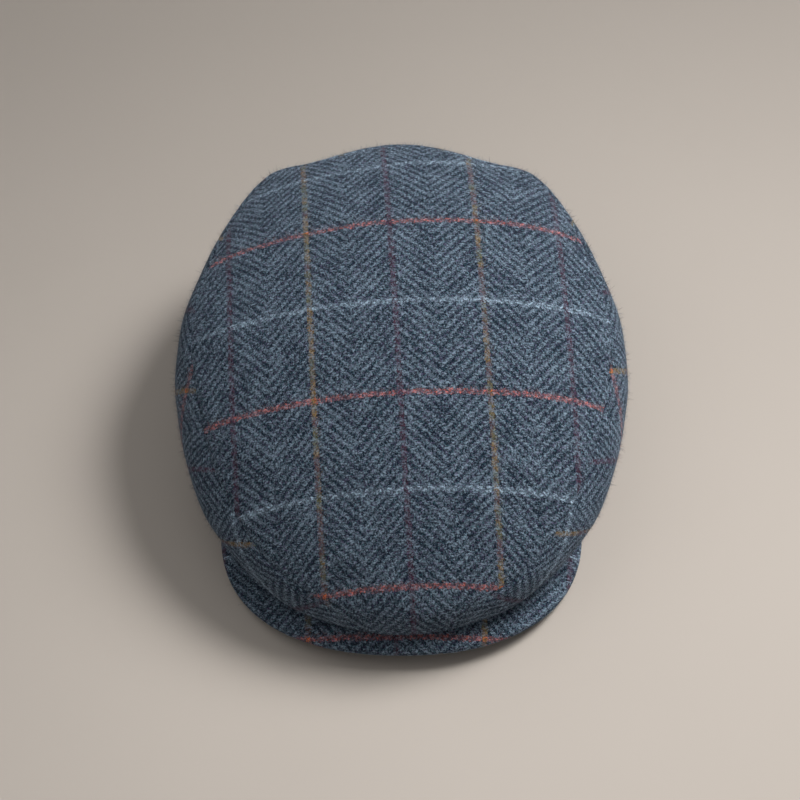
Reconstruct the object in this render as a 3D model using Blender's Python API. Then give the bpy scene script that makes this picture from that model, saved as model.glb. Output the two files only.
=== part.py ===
"""Flat cap: a top panel that rolls over the front, two side panels and a stiff cloth-covered peak."""

import bpy
import numpy as np

MM = 0.001
HALF = 0.5

# Head opening: an oval rim that lies on the ground
HEAD_HALF_WIDTH = 83 * MM
HEAD_HALF_LENGTH = 99 * MM
HEAD_SQUARENESS = 2.2

# Crown
CROWN_HEIGHT = 90 * MM
SIDE_OVERHANG = 24.5 * MM
BACK_OVERHANG = 23.4 * MM
TOP_BEHIND_MIDDLE = 38.8 * MM
FALL_ACROSS = 0.295
FALL_ALONG = 0.402
EDGE_TURN_POWER = 8
SHOULDER_INSET = 10 * MM
SHOULDER_DROP = 6 * MM
CLOTH_THICK = 2.2 * MM

# Pull of the curves that run from the shoulder line to the widest line and on to the rim
SHOULDER_PULL = 1.0
WIDEST_PULL = 1.2
TUCK_PULL = 1.0
RIM_PULL = 0.9
RIM_LEAN = 0.6
TUCK_CLIMB = 0.3

# Seams
SEAM_GAP = 0.3 * MM
GROOVE_DEPTH = 0.7 * MM
GROOVE_REACH = 2.2 * MM

# Peak
PEAK_DEPTH = 34.8 * MM
PEAK_SIDE_SPREAD = 3 * MM
PEAK_FRONT_TO_WIDEST = 70 * MM
PEAK_TAIL = 40 * MM
PEAK_SQUARENESS = 2.25
PEAK_THICK = 4.5 * MM
PEAK_TIP_THICK = 1.4 * MM
PEAK_DOME = 24 * MM
PEAK_DOME_POWER = 1.3
PEAK_FRONT_LIFT = 6.5 * MM
PEAK_TAPER = 30 * MM
PEAK_EDGE_ROUND = 1.3 * MM
PEAK_ROUND_SHARE = 0.25
RIM_RETURN = 12 * MM

# What follows from the sizes above
CAP_HALF_LENGTH = HALF * (2 * HEAD_HALF_LENGTH + BACK_OVERHANG + PEAK_DEPTH)
CROWN_HALF_WIDTH = HEAD_HALF_WIDTH + SIDE_OVERHANG
HEAD_Y = HALF * (PEAK_DEPTH - BACK_OVERHANG)
PEAK_HALF_WIDTH = HEAD_HALF_WIDTH + PEAK_SIDE_SPREAD
PEAK_WIDEST_Y = PEAK_FRONT_TO_WIDEST - CAP_HALF_LENGTH

# Sections of the crown from the front round to the back of the right side. The left side mirrors them.
# across, along: the widest line, as shares of the crown's half width and the cap's half length
# up: height of the widest line, as a share of the crown's height
# inset, drop: shoulder line inside the widest line and below the top's curve, as shares of their sizes
# tuck: 1 where the cloth turns under to lie on the peak, 0 where it runs down to the ground
# under: how far the seam lies past the shoulder line, 1 at the widest line and 2 at the rim
SECTION_COLUMNS = ("across", "along", "up", "inset", "drop", "tuck", "under")
SECTIONS = {
    "front": (0.0, -0.960, 0.25, 0.24, 0.82, 1.0, 1.35),
    "front_side": (0.313, -0.912, 0.255, 0.35, 0.86, 1.0, 0.40),
    "brow": (0.551, -0.819, 0.265, 0.46, 0.91, 1.0, 0.0),
    "temple": (0.706, -0.686, 0.29, 0.76, 0.86, 1.0, 0.0),
    "cheek": (0.840, -0.535, 0.34, 0.98, 0.81, 0.6, 0.0),
    "side_front": (0.938, -0.334, 0.42, 1.04, 0.76, 0.0, 0.0),
    "side": (0.996, -0.068, 0.46, 0.94, 0.71, 0.0, 0.0),
    "side_back": (0.979, 0.226, 0.52, 0.71, 0.68, 0.0, 0.0),
    "quarter": (0.830, 0.563, 0.56, 0.47, 0.66, 0.0, 0.0),
    "back_corner": (0.624, 0.852, 0.59, 0.41, 0.69, 0.0, 0.0),
    "back_dip": (0.405, 0.905, 0.60, 0.46, 0.73, 0.0, 0.0),
    "back": (0.0, 1.0, 0.58, 0.57, 0.78, 0.0, 0.0),
}

# Steps down the crown's face: 0 at its centre, then the lines below
SHOULDER_STEP = 1
WIDEST_STEP = 2
RIM_STEP = 3

# Rings of the top panel: shares of the cloth from the centre to the seam, then distances short of it
TOP_RINGS = (0.13, 0.32, 0.5, 0.66, 0.79)
SEAM_RINGS = (16 * MM, 11.5 * MM, 7.5 * MM, 4.2 * MM, 1.8 * MM)

# Rings of a side panel: one beside the seam, then shares of the cloth from the seam to the rim
SIDE_SEAM_RING = 2 * MM
SIDE_SEAM_RING_MOST = 0.07
SIDE_RINGS = (0.14, 0.27, 0.4, 0.54, 0.68, 0.84, 1.0)
PEAK_RINGS = (0.0, 0.25, 0.5, 0.75)
COLUMNS_PER_SECTION = 4
FRONT_COLUMNS_PER_SECTION = 9
FRONT_SECTIONS = 2
PEAK_COLUMNS = 44
PATH_STEPS = 360
NORMAL_STEP = 0.002
SOLVE_STEPS = 40
DIAGONAL_TIE = 0.001 * MM

TWEED_TOP = (0.10, 0.15, 0.21, 1.0)
TWEED_SIDE = (0.09, 0.135, 0.19, 1.0)
TWEED_PEAK = (0.08, 0.12, 0.17, 1.0)
CLOTH_ROUGHNESS = 0.95


def smooth(share):
    """Ease from 0 to 1."""
    share = np.clip(share, 0.0, 1.0)
    return share * share * (3 - 2 * share)


def curve_between(start, end, leave, arrive, share):
    """Point on the curve from start to end that leaves and arrives along the two given tangents."""
    share2 = share * share
    share3 = share2 * share
    near = 1 - 3 * share2 + 2 * share3
    bend = (share3 - 2 * share2 + share) * leave + (share3 - share2) * arrive
    return near * start + (1 - near) * end + bend


def unit(vectors):
    return vectors / np.linalg.norm(vectors, axis=-1, keepdims=True)


def with_height(plan, height):
    return np.concatenate([plan, height[..., None]], axis=-1)


def section_loop():
    """All sections round the cap, with the slopes of a smooth closed curve through them."""
    right = np.array(list(SECTIONS.values()))
    left = right[-2:0:-1] * np.where(np.array(SECTION_COLUMNS) == "across", -1, 1)
    values = np.vstack([right, left])
    here = np.eye(len(values))
    system = 4 * here + np.roll(here, 1, axis=1) + np.roll(here, -1, axis=1)
    slopes = np.linalg.solve(system, 3 * (np.roll(values, -1, axis=0) - np.roll(values, 1, axis=0)))
    return values, slopes


LOOP, LOOP_SLOPES = section_loop()


def section_at(place):
    """Named columns of the section table at a place along the loop, counted in sections from the front."""
    place = np.asarray(place, float) % len(LOOP)
    first = np.floor(place).astype(int)
    after = (first + 1) % len(LOOP)
    share = (place - first)[..., None]
    row = curve_between(LOOP[first], LOOP[after], LOOP_SLOPES[first], LOOP_SLOPES[after], share)
    return {name: row[..., i] for i, name in enumerate(SECTION_COLUMNS)}


def seam_step(place):
    return SHOULDER_STEP + np.maximum(section_at(place)["under"], 0.0)


def top_height(x, y):
    """Height of the crown's top before it turns down at the shoulder."""
    across = x / CROWN_HALF_WIDTH
    along = (y - TOP_BEHIND_MIDDLE) / CAP_HALF_LENGTH
    return CROWN_HEIGHT * (1 - FALL_ACROSS * across**2 - FALL_ALONG * along**2)


def top_slope(x, y, away):
    """Rise of that curve per length towards the plan direction away."""
    slope_x = -2 * FALL_ACROSS * CROWN_HEIGHT * x / CROWN_HALF_WIDTH**2
    slope_y = -2 * FALL_ALONG * CROWN_HEIGHT * (y - TOP_BEHIND_MIDDLE) / CAP_HALF_LENGTH**2
    return slope_x * away[..., 0] + slope_y * away[..., 1]


def oval_share(x, y, half_width, half_length, squareness):
    """0 at the centre of an oval and 1 on it."""
    side = np.abs(x) / half_width
    end = np.abs(y) / half_length
    return (side**squareness + end**squareness) ** (1 / squareness)


def oval_point(angle, middle_y, half_width, half_length, squareness):
    """Plan point of an oval at an angle round its centre."""
    x = np.cos(angle)
    y = np.sin(angle)
    radius = 1 / oval_share(x, y, half_width, half_length, squareness)
    return np.stack([radius * x, middle_y + radius * y], axis=-1)


def rim_point(angle):
    return oval_point(angle, HEAD_Y, HEAD_HALF_WIDTH, HEAD_HALF_LENGTH, HEAD_SQUARENESS)


def peak_outline(angle):
    """Plan point of the peak's outer edge at an angle round the middle of its widest line."""
    reach = np.where(np.sin(angle) < 0, PEAK_FRONT_TO_WIDEST, PEAK_TAIL)
    return oval_point(angle, PEAK_WIDEST_Y, PEAK_HALF_WIDTH, reach, PEAK_SQUARENESS)


def peak_share(x, y):
    """0 at the middle of the peak's widest line and 1 on the peak's outer edge."""
    reach = np.where(y < PEAK_WIDEST_Y, PEAK_FRONT_TO_WIDEST, PEAK_TAIL)
    return oval_share(x, y - PEAK_WIDEST_Y, PEAK_HALF_WIDTH, reach, PEAK_SQUARENESS)


def peak_tip_angle():
    """Angle on the peak's outline, behind the widest line on the right, where it meets the rim."""
    low = 0.0
    high = HALF * np.pi
    for _ in range(SOLVE_STEPS):
        middle = HALF * (low + high)
        x, y = peak_outline(middle)
        if oval_share(x, y - HEAD_Y, HEAD_HALF_WIDTH, HEAD_HALF_LENGTH, HEAD_SQUARENESS) > 1:
            low = middle
        else:
            high = middle
    return low


TIP_ANGLE = peak_tip_angle()
TIP_X, TIP_Y = peak_outline(TIP_ANGLE)


def peak_thickness(y):
    return PEAK_TIP_THICK + (PEAK_THICK - PEAK_TIP_THICK) * smooth((TIP_Y - y) / PEAK_TAPER)


def peak_bottom(x, y):
    """Height of the peak's underside: a low dome, lifted at the front, whose sides reach the ground."""
    share = np.minimum(peak_share(x, np.minimum(y, PEAK_WIDEST_Y)), 1.0)
    front = np.clip((PEAK_WIDEST_Y - y) / PEAK_FRONT_TO_WIDEST, 0.0, 1.0)
    dome = PEAK_DOME * (1 - share**PEAK_DOME_POWER) * smooth((TIP_Y - y) / PEAK_TAPER)
    return dome + PEAK_FRONT_LIFT * front**2


def peak_top(x, y):
    return peak_bottom(x, y) + peak_thickness(y)


def crown_surface(place, step):
    """Outer face of the crown at a place along the section loop and a step down its face."""
    place, step = np.broadcast_arrays(np.asarray(place, float), np.asarray(step, float))
    row = section_at(place)
    widest_xy = np.stack([row["across"] * CROWN_HALF_WIDTH, row["along"] * CAP_HALF_LENGTH], axis=-1)
    widest = with_height(widest_xy, row["up"] * CROWN_HEIGHT)
    drop = row["drop"] * SHOULDER_DROP
    away = unit(widest_xy)
    shoulder_xy = widest_xy - away * row["inset"][..., None] * SHOULDER_INSET
    shoulder = with_height(shoulder_xy, top_height(shoulder_xy[..., 0], shoulder_xy[..., 1]) - drop)

    # Top, from the centre out to the shoulder line
    out = np.clip(step, 0.0, SHOULDER_STEP)
    top_xy = shoulder_xy * out[..., None]
    top = with_height(top_xy, top_height(top_xy[..., 0], top_xy[..., 1]) - drop * out**EDGE_TURN_POWER)

    # Turn, from the shoulder line to the widest line
    reach = np.linalg.norm(shoulder_xy, axis=-1)
    slope = top_slope(shoulder_xy[..., 0], shoulder_xy[..., 1], away) - drop * EDGE_TURN_POWER / reach
    leave = unit(with_height(away, slope))
    down = np.zeros_like(widest)
    down[..., 2] = -1
    chord = np.linalg.norm(widest - shoulder, axis=-1, keepdims=True)
    share = np.clip(step - SHOULDER_STEP, 0.0, 1.0)[..., None]
    turn = curve_between(shoulder, widest, leave * chord * SHOULDER_PULL, down * chord * WIDEST_PULL, share)

    # Side, from the widest line to the rim
    rim_xy = rim_point(np.arctan2(widest_xy[..., 1] - HEAD_Y, widest_xy[..., 0]))
    on_peak = smooth((TIP_Y + RIM_RETURN - rim_xy[..., 1]) / RIM_RETURN)
    rim_z = (peak_top(rim_xy[..., 0], np.minimum(rim_xy[..., 1], TIP_Y)) + SEAM_GAP) * on_peak
    rim = with_height(rim_xy, rim_z)
    tuck = np.clip(row["tuck"], 0.0, 1.0)[..., None]
    inward = unit(rim_xy - widest_xy)
    arrive_down = np.concatenate([inward * RIM_LEAN, down[..., 2:]], axis=-1)
    arrive_tuck = np.concatenate([inward, -down[..., 2:] * TUCK_CLIMB], axis=-1)
    arrive = unit(arrive_down * (1 - tuck) + arrive_tuck * tuck)
    chord = np.linalg.norm(rim - widest, axis=-1, keepdims=True)
    pull = WIDEST_PULL * (1 - tuck) + TUCK_PULL * tuck
    share = np.clip(step - WIDEST_STEP, 0.0, 1.0)[..., None]
    side = curve_between(widest, rim, down * chord * pull, arrive * chord * RIM_PULL, share)

    points = np.where((step > SHOULDER_STEP)[..., None], turn, top)
    points = np.where((step > WIDEST_STEP)[..., None], side, points)
    x, y, z = np.moveaxis(points, -1, 0)
    over_peak = (peak_share(x, y) < 1) & (y < TIP_Y) & (step > SHOULDER_STEP)
    lowest = np.where(over_peak, peak_top(x, y) + SEAM_GAP, 0.0)
    return np.stack([x, y, np.maximum(z, lowest)], axis=-1)


def crown_normal(place, step):
    """Outward direction of the crown's face."""
    round_cap = crown_surface(place + NORMAL_STEP, step) - crown_surface(place - NORMAL_STEP, step)
    below = np.minimum(step + NORMAL_STEP, RIM_STEP)
    above = np.maximum(step - NORMAL_STEP, 0.0)
    return unit(np.cross(crown_surface(place, below) - crown_surface(place, above), round_cap))


def column_places():
    """Places of the crown's columns from the centre front to the centre back, closer at the front."""
    rest_sections = len(SECTIONS) - 1 - FRONT_SECTIONS
    front = np.arange(FRONT_COLUMNS_PER_SECTION * FRONT_SECTIONS) / FRONT_COLUMNS_PER_SECTION
    rest = np.arange(COLUMNS_PER_SECTION * rest_sections + 1) / COLUMNS_PER_SECTION
    return np.concatenate([front, FRONT_SECTIONS + rest])


def cloth_lengths(places):
    """Steps of a fine path from the crown's centre to the rim, and the cloth length to each."""
    steps = np.linspace(0.0, RIM_STEP, PATH_STEPS + 1)
    points = crown_surface(places[:, None], steps[None, :])
    pieces = np.linalg.norm(np.diff(points, axis=1), axis=-1)
    return steps, np.concatenate([np.zeros((len(places), 1)), np.cumsum(pieces, axis=1)], axis=1)


def seam_lengths(places, steps, lengths):
    """Cloth length from the centre to the seam on each path, and half the seam's gap along that path."""
    at = seam_step(places)
    seam = np.array([np.interp(step, steps, path) for step, path in zip(at, lengths)])
    ahead = crown_surface(places + NORMAL_STEP, seam_step(places + NORMAL_STEP))
    behind = crown_surface(places - NORMAL_STEP, seam_step(places - NORMAL_STEP))
    path_way = crown_surface(places, at + NORMAL_STEP) - crown_surface(places, at - NORMAL_STEP)
    slant = np.linalg.norm(np.cross(unit(ahead - behind), unit(path_way)), axis=-1)
    return seam, HALF * SEAM_GAP / slant


def panel_points(places, steps, lengths, rings, seam):
    """Outer and inner points of a panel, from each ring's cloth length on each path, with the groove."""
    at = np.array([np.interp(ring, path, steps) for ring, path in zip(rings.T, lengths)]).T
    where = np.broadcast_to(places, at.shape)
    normal = crown_normal(where, at)
    groove = GROOVE_DEPTH * np.exp(-(((rings - seam) / GROOVE_REACH) ** 2))
    outer = crown_surface(where, at) - normal * groove[..., None]
    return outer, outer - normal * CLOTH_THICK


def make_material(name, colour):
    material = bpy.data.materials.new(name)
    material.use_nodes = True
    shader = material.node_tree.nodes["Principled BSDF"]
    shader.inputs["Base Color"].default_value = colour
    shader.inputs["Roughness"].default_value = CLOTH_ROUGHNESS
    shader.inputs["Metallic"].default_value = 0.0
    return material


def make_object(name, points, faces, material):
    mesh = bpy.data.meshes.new(name)
    mesh.from_pydata([tuple(point) for point in points], [], faces)
    mesh.validate()
    for polygon in mesh.polygons:
        polygon.use_smooth = True
    mesh.materials.append(material)
    thing = bpy.data.objects.new(name, mesh)
    bpy.context.scene.collection.objects.link(thing)


def grid_faces(points, rows, columns, start, wrap, inside):
    """Triangles over a grid of points numbered from start, split along the shorter diagonals."""
    faces = []
    for row in range(rows - 1):
        for column in range(columns if wrap else columns - 1):
            after = (column + 1) % columns
            near = start + row * columns + column
            far = near + columns
            near_after = start + row * columns + after
            far_after = near_after + columns
            one = np.linalg.norm(points[near] - points[far_after])
            other = np.linalg.norm(points[far] - points[near_after])
            longer = one - other
            if abs(longer) < DIAGONAL_TIE:
                longer = -points[near][0] - points[far_after][0]
            if longer > 0:
                pair = [(near, far, near_after), (far, far_after, near_after)]
            else:
                pair = [(near, far, far_after), (near, far_after, near_after)]
            faces += [face[::-1] for face in pair] if inside else pair
    return faces


def wall_faces(points, outer_loop, inner_loop):
    """Triangles between two closed loops. Each diagonal starts from the outer point further back."""
    faces = []
    count = len(outer_loop)
    for i in range(count):
        outer, outer_after = outer_loop[i], outer_loop[(i + 1) % count]
        inner, inner_after = inner_loop[i], inner_loop[(i + 1) % count]
        if points[outer][1] > points[outer_after][1]:
            faces += [(outer, outer_after, inner_after), (outer, inner_after, inner)]
        else:
            faces += [(outer, outer_after, inner), (outer_after, inner_after, inner)]
    return faces


def make_sheet(name, outer, inner, material):
    """A closed shell between two open grids: rows run outwards, columns run round towards the left."""
    rows, columns = outer.shape[:2]
    size = rows * columns
    points = np.vstack([outer.reshape(-1, 3), inner.reshape(-1, 3)])
    faces = grid_faces(points, rows, columns, 0, False, False)
    faces += grid_faces(points, rows, columns, size, False, True)
    last = (rows - 1) * columns
    loop = list(range(columns))
    loop += [row * columns + columns - 1 for row in range(1, rows)]
    loop += [last + column for column in range(columns - 2, -1, -1)]
    loop += [row * columns for row in range(rows - 2, 0, -1)]
    faces += wall_faces(points, loop, [number + size for number in loop])
    make_object(name, points, faces, material)


def make_top(material):
    """The top panel, a round shell whose front reaches over the roll and under it."""
    right = column_places()
    places = np.concatenate([right, len(LOOP) - right[-2:0:-1]])
    steps, lengths = cloth_lengths(places)
    seam, half_gap = seam_lengths(places, steps, lengths)
    rings = [share * seam for share in TOP_RINGS]
    rings += [seam - distance for distance in SEAM_RINGS]
    rings.append(seam - half_gap)
    outer, inner = panel_points(places, steps, lengths, np.array(rings), seam)
    rows, columns = outer.shape[:2]
    size = rows * columns
    centre = np.array([0.0, 0.0, top_height(0.0, 0.0)])
    below = centre - np.array([0.0, 0.0, CLOTH_THICK])
    points = np.vstack([outer.reshape(-1, 3), inner.reshape(-1, 3), centre, below])
    faces = grid_faces(points, rows, columns, 0, True, False)
    faces += grid_faces(points, rows, columns, size, True, True)
    for column in range(columns):
        after = (column + 1) % columns
        faces.append((2 * size, column, after))
        faces.append((2 * size + 1, size + after, size + column))
    edge = [(rows - 1) * columns + column for column in range(columns - 1, -1, -1)]
    faces += wall_faces(points, edge, [number + size for number in edge])
    make_object("crown_top", points, faces, material)


def make_sides(material):
    """The right side panel, from the centre front round to the centre back, and its mirror image."""
    places = column_places()
    steps, lengths = cloth_lengths(places)
    seam, half_gap = seam_lengths(places, steps, lengths)
    start = seam + half_gap
    width = lengths[:, -1] - start
    rings = [start, start + np.minimum(SIDE_SEAM_RING, SIDE_SEAM_RING_MOST * width)]
    rings += [start + share * width for share in SIDE_RINGS]
    outer, inner = panel_points(places, steps, lengths, np.array(rings), seam)

    # The rim is cut level where it lies on the ground
    rim = outer[-1]
    tuck = np.clip(section_at(places)["tuck"], 0.0, 1.0)[:, None]
    inward = with_height(-unit(rim[:, :2]), np.zeros(len(rim)))
    inner[-1] = (rim + inward * CLOTH_THICK) * (1 - tuck) + inner[-1] * tuck
    inner[..., 2] = np.maximum(inner[..., 2], 0.0)

    # The ends at the centre front and the centre back stop half a gap from the middle
    for face in (outer, inner):
        face[:, 0, 0] = HALF * SEAM_GAP
        face[:, -1, 0] = HALF * SEAM_GAP
    mirror = np.array([-1.0, 1.0, 1.0])
    make_sheet("side_right", outer, inner, material)
    make_sheet("side_left", outer[:, ::-1] * mirror, inner[:, ::-1] * mirror, material)


def make_peak(material):
    """A domed crescent between the rim's front and the outline, with a rounded outer edge and thin tips."""
    share = np.linspace(-1.0, 1.0, PEAK_COLUMNS + 1)[1:-1]
    head_angle = np.arctan2(TIP_Y - HEAD_Y, TIP_X)
    outline = peak_outline(share * (HALF * np.pi + TIP_ANGLE) - HALF * np.pi)
    inside = rim_point(share * (HALF * np.pi + head_angle) - HALF * np.pi)
    rings = [inside + (outline - inside) * ring for ring in PEAK_RINGS]
    rings += [outline + unit(inside - outline) * PEAK_EDGE_ROUND, outline]
    plan = np.array(rings)
    top_z = peak_top(plan[..., 0], plan[..., 1])
    bottom_z = peak_bottom(plan[..., 0], plan[..., 1])
    rounding = np.minimum(PEAK_EDGE_ROUND, PEAK_ROUND_SHARE * peak_thickness(outline[:, 1]))
    top_z[-1] -= rounding
    bottom_z[-1] += rounding
    make_sheet("peak", with_height(plan, top_z), with_height(plan, bottom_z), material)


for old in list(bpy.data.objects):
    bpy.data.objects.remove(old)

make_top(make_material("tweed_top", TWEED_TOP))
make_sides(make_material("tweed_side", TWEED_SIDE))
make_peak(make_material("tweed_peak", TWEED_PEAK))
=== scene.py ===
# Flat cap in blue herringbone tweed with a fine overcheck, lying on its rim.
# Each CAD node is replaced by a fine cloth piece on the same form, with the weave in its material
# and loose wool fibres on its face.
import math

import bmesh
import bpy
import numpy as np
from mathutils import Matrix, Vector


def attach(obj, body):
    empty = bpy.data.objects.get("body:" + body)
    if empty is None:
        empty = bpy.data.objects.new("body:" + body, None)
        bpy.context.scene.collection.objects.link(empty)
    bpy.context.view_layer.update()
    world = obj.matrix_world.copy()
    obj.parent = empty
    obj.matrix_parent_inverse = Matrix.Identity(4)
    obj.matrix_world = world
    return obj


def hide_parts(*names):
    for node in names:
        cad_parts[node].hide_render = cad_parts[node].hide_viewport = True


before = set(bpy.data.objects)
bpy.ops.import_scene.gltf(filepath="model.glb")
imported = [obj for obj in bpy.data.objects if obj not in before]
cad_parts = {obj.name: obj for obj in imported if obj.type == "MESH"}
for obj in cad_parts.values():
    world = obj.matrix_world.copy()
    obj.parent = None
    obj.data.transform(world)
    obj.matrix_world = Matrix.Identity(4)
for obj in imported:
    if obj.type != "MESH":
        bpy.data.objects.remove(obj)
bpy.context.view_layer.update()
mm = 0.001
scene = bpy.context.scene


# The form. Its sizes and curves are the CAD part's own, so every piece stays where its node is;
# only the roll over the peak (front, frontSide, brow) lies a few millimetres closer to the peak.
head = {"halfWidth": 83 * mm, "halfLength": 99 * mm, "squareness": 2.2}

crown = {
    "height": 90 * mm,
    "sideOverhang": 24.5 * mm,
    "backOverhang": 23.4 * mm,
    "topBehindMiddle": 38.8 * mm,
    "fallAcross": 0.295,
    "fallAlong": 0.402,
    "edgeTurnPower": 8,
    "shoulderInset": 10 * mm,
    "shoulderDrop": 6 * mm,
    "shoulderPull": 1.0,
    "widestPull": 1.2,
    "tuckPull": 1.0,
    "rimPull": 0.9,
    "rimLean": 0.6,
    "tuckClimb": 0.3,
    "clearance": 0.3 * mm,  # between the tucked cloth and the peak
}

peak = {
    "depth": 34.8 * mm,
    "sideSpread": 3 * mm,
    "frontToWidest": 70 * mm,
    "tail": 40 * mm,
    "squareness": 2.25,
    "thick": 4.5 * mm,
    "tipThick": 1.4 * mm,
    "dome": 24 * mm,
    "domePower": 1.3,
    "frontLift": 6.5 * mm,
    "taper": 30 * mm,
    "rimReturn": 12 * mm,
}

# Sections of the crown from the front round to the back of the right side
# across, along: the widest line, as shares of the crown's half width and the cap's half length
# up: height of the widest line, as a share of the crown's height
# inset, drop: shoulder line inside the widest line and below the top's curve
# tuck: 1 where the cloth turns under onto the peak; under: how far the seam lies past the shoulder
sectionColumns = ("across", "along", "up", "inset", "drop", "tuck", "under")
sections = {
    "front": (0.0, -0.950, 0.196, 0.50, 0.80, 1.0, 1.35),
    "frontSide": (0.312, -0.905, 0.206, 0.52, 0.80, 1.0, 0.40),
    "brow": (0.546, -0.809, 0.232, 0.52, 0.88, 1.0, 0.0),
    "temple": (0.706, -0.686, 0.29, 0.76, 0.86, 1.0, 0.0),
    "cheek": (0.840, -0.535, 0.34, 0.98, 0.81, 0.6, 0.0),
    "sideFront": (0.938, -0.334, 0.42, 1.04, 0.76, 0.0, 0.0),
    "side": (0.996, -0.068, 0.46, 0.94, 0.71, 0.0, 0.0),
    "sideBack": (0.979, 0.226, 0.52, 0.71, 0.68, 0.0, 0.0),
    "quarter": (0.830, 0.563, 0.56, 0.47, 0.66, 0.0, 0.0),
    "backCorner": (0.624, 0.852, 0.59, 0.41, 0.69, 0.0, 0.0),
    "backDip": (0.405, 0.905, 0.60, 0.46, 0.73, 0.0, 0.0),
    "back": (0.0, 1.0, 0.58, 0.57, 0.78, 0.0, 0.0),
}

capHalfLength = 0.5 * (2 * head["halfLength"] + crown["backOverhang"] + peak["depth"])
crownHalfWidth = head["halfWidth"] + crown["sideOverhang"]
headY = 0.5 * (peak["depth"] - crown["backOverhang"])
peakHalfWidth = head["halfWidth"] + peak["sideSpread"]
peakWidestY = peak["frontToWidest"] - capHalfLength
halfLoop = len(sections) - 1  # sections from the centre front to the centre back
wholeLoop = 2 * halfLoop


def ease(share):
    share = np.clip(share, 0.0, 1.0)
    return share * share * (3 - 2 * share)


def curveBetween(start, end, leave, arrive, share):
    near = 1 - 3 * share**2 + 2 * share**3
    bend = (share**3 - 2 * share**2 + share) * leave + (share**3 - share**2) * arrive
    return near * start + (1 - near) * end + bend


def unit(vectors):
    return vectors / np.linalg.norm(vectors, axis=-1, keepdims=True)


def withHeight(plan, height):
    return np.concatenate([plan, height[..., None]], axis=-1)


def sectionLoop():
    right = np.array(list(sections.values()))
    left = right[-2:0:-1] * np.where(np.array(sectionColumns) == "across", -1, 1)
    values = np.vstack([right, left])
    here = np.eye(len(values))
    system = 4 * here + np.roll(here, 1, axis=1) + np.roll(here, -1, axis=1)
    rise = np.roll(values, -1, axis=0) - np.roll(values, 1, axis=0)
    return values, np.linalg.solve(system, 3 * rise)


loopValues, loopSlopes = sectionLoop()


def sectionAt(place):
    place = np.asarray(place, float) % wholeLoop
    first = np.floor(place).astype(int)
    after = (first + 1) % wholeLoop
    share = (place - first)[..., None]
    row = curveBetween(loopValues[first], loopValues[after], loopSlopes[first], loopSlopes[after], share)
    return {name: row[..., i] for i, name in enumerate(sectionColumns)}


def seamStep(place):
    return 1 + np.maximum(sectionAt(place)["under"], 0.0)


def topHeight(x, y):
    across = x / crownHalfWidth
    along = (y - crown["topBehindMiddle"]) / capHalfLength
    return crown["height"] * (1 - crown["fallAcross"] * across**2 - crown["fallAlong"] * along**2)


def topSlope(x, y, away):
    slopeX = -2 * crown["fallAcross"] * crown["height"] * x / crownHalfWidth**2
    slopeY = -2 * crown["fallAlong"] * crown["height"] * (y - crown["topBehindMiddle"]) / capHalfLength**2
    return slopeX * away[..., 0] + slopeY * away[..., 1]


def ovalShare(x, y, halfWidth, halfLength, squareness):
    side = np.abs(x) / halfWidth
    end = np.abs(y) / halfLength
    return (side**squareness + end**squareness) ** (1 / squareness)


def ovalPoint(angle, middleY, halfWidth, halfLength, squareness):
    x = np.cos(angle)
    y = np.sin(angle)
    radius = 1 / ovalShare(x, y, halfWidth, halfLength, squareness)
    return np.stack([radius * x, middleY + radius * y], axis=-1)


def rimPoint(angle):
    return ovalPoint(angle, headY, head["halfWidth"], head["halfLength"], head["squareness"])


def peakOutline(angle):
    reach = np.where(np.sin(angle) < 0, peak["frontToWidest"], peak["tail"])
    return ovalPoint(angle, peakWidestY, peakHalfWidth, reach, peak["squareness"])


def peakShare(x, y):
    reach = np.where(y < peakWidestY, peak["frontToWidest"], peak["tail"])
    return ovalShare(x, y - peakWidestY, peakHalfWidth, reach, peak["squareness"])


# Where the peak's outline runs into the rim, found by halving
def peakTipAngle():
    low = 0.0
    high = 0.5 * math.pi
    for _ in range(40):
        middle = 0.5 * (low + high)
        x, y = peakOutline(middle)
        if ovalShare(x, y - headY, head["halfWidth"], head["halfLength"], head["squareness"]) > 1:
            low = middle
        else:
            high = middle
    return low


tipAngle = peakTipAngle()
tipX, tipY = peakOutline(tipAngle)


def peakThickness(y):
    return peak["tipThick"] + (peak["thick"] - peak["tipThick"]) * ease((tipY - y) / peak["taper"])


def peakBottom(x, y):
    share = np.minimum(peakShare(x, np.minimum(y, peakWidestY)), 1.0)
    front = np.clip((peakWidestY - y) / peak["frontToWidest"], 0.0, 1.0)
    dome = peak["dome"] * (1 - share ** peak["domePower"]) * ease((tipY - y) / peak["taper"])
    return dome + peak["frontLift"] * front**2


def peakTop(x, y):
    return peakBottom(x, y) + peakThickness(y)


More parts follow.
